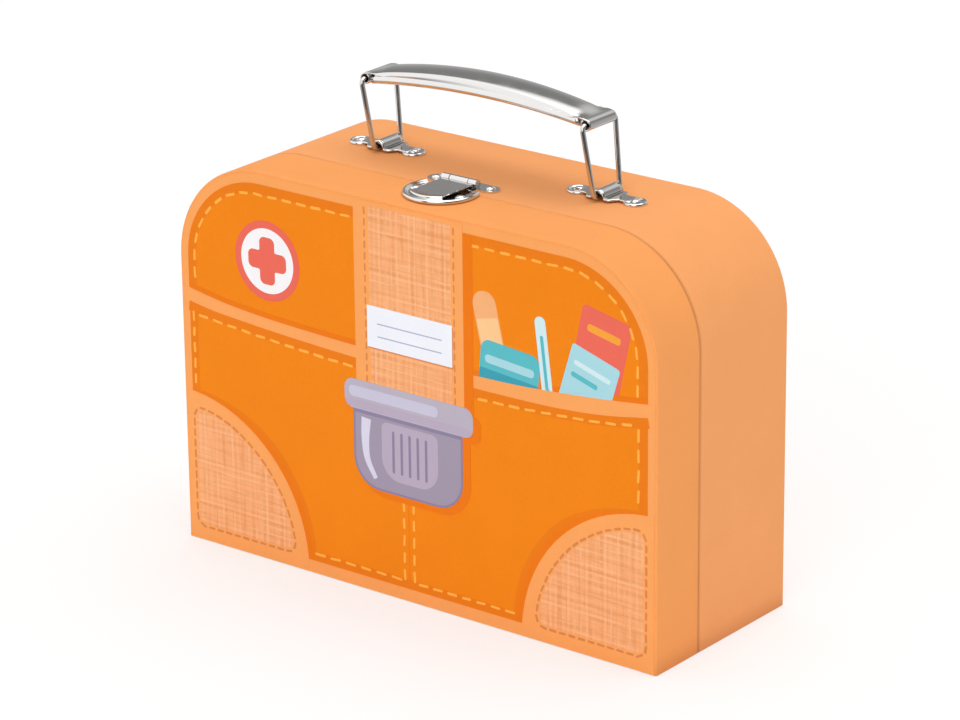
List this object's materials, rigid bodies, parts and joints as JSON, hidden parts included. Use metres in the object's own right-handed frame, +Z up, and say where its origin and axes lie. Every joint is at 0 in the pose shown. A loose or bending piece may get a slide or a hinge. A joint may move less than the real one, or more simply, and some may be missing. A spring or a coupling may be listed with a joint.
{
  "type": "toy doctor case",
  "caption": "Small hinged paperboard carrying case with rounded top corners, a printed satchel front, a metal clasp and a folding metal handle.",
  "frame": {"origin": "middle of the bottom, on the surface that the case stands on", "axes": "+X to the case's left-to-right width seen from the front, +Y to the back, +Z up"},
  "size_m": [0.25, 0.091, 0.2162],
  "materials": {
    "grey_board": "bare grey chipboard",
    "orange_paper": "matt coloured covering paper",
    "printed_paper": "matt printed paper",
    "hinge_cloth": "paper-backed book cloth",
    "lining_paper": "uncoated lining card",
    "plated_sheet": "nickel-plated pressed steel",
    "plated_wire": "nickel-plated drawn wire",
    "plated_rivet": "nickel-plated rivet",
    "washer_steel": "zinc-plated washer"
  },
  "bodies": {
    "base": {"base_back_board": "grey_board", "base_band": "grey_board", "base_bottom_board": "grey_board", "base_band_paper": "orange_paper", "base_back_paper": "printed_paper", "base_bottom_cloth": "hinge_cloth", "base_back_lining": "lining_paper", "base_side_lining": "lining_paper", "hinge_tape_base": "lining_paper", "inner_collar": "grey_board", "left_handle_mount": "plated_sheet", "right_handle_mount": "plated_sheet", "handle_rivets": "plated_rivet", "handle_washers": "washer_steel", "clasp_rear_plate": "plated_sheet", "clasp_rear_rivets": "plated_rivet", "clasp_rear_washers": "washer_steel", "clasp_pin": "plated_wire"},
    "lid": {"lid_front_board": "grey_board", "lid_band": "grey_board", "lid_bottom_board": "grey_board", "lid_front_paper": "printed_paper", "lid_band_paper": "orange_paper", "lid_bottom_cloth": "hinge_cloth", "lid_front_lining": "lining_paper", "lid_side_lining": "lining_paper", "hinge_tape_lid": "lining_paper", "clasp_front_plate": "plated_sheet", "clasp_front_rivets": "plated_rivet", "clasp_front_washers": "washer_steel", "catch_stud": "plated_rivet"},
    "left_bail": {"left_wire_bail": "plated_wire"},
    "right_bail": {"right_wire_bail": "plated_wire"},
    "grip": {"handle_grip": "plated_sheet"},
    "hasp": {"clasp_hasp": "plated_sheet"}
  },
  "joints": [
    {"name": "lid_hinge", "type": "hinge", "parent": "base", "child": "lid", "pos_m": [0, -0.0162, 0], "axis": [1, 0, 0], "range_deg": [0, 175]},
    {"name": "left_bail_swing", "type": "hinge", "parent": "base", "child": "left_bail", "pos_m": [-0.0576, 0.01265, 0.1764], "axis": [0, 1, 0], "range_deg": [-78, 93.8]},
    {"name": "right_bail_swing", "type": "hinge", "parent": "base", "child": "right_bail", "pos_m": [0.0576, 0.01265, 0.1764], "axis": [0, 1, 0], "range_deg": [-78, 93.8]},
    {"name": "grip_pivot", "type": "hinge", "parent": "left_bail", "child": "grip", "pos_m": [-0.06177, 0.01265, 0.20641], "axis": [0, 1, 0], "range_deg": [-93.8, 78]},
    {"name": "hasp_hinge", "type": "hinge", "parent": "base", "child": "hasp", "pos_m": [0, -0.0105, 0.1769], "axis": [-1, 0, 0], "range_deg": [0, 110]}
  ],
  "couplings": [
    {"joint": "right_bail_swing", "follows": "left_bail_swing", "ratio": 1},
    {"joint": "grip_pivot", "follows": "left_bail_swing", "ratio": -1}
  ]
}
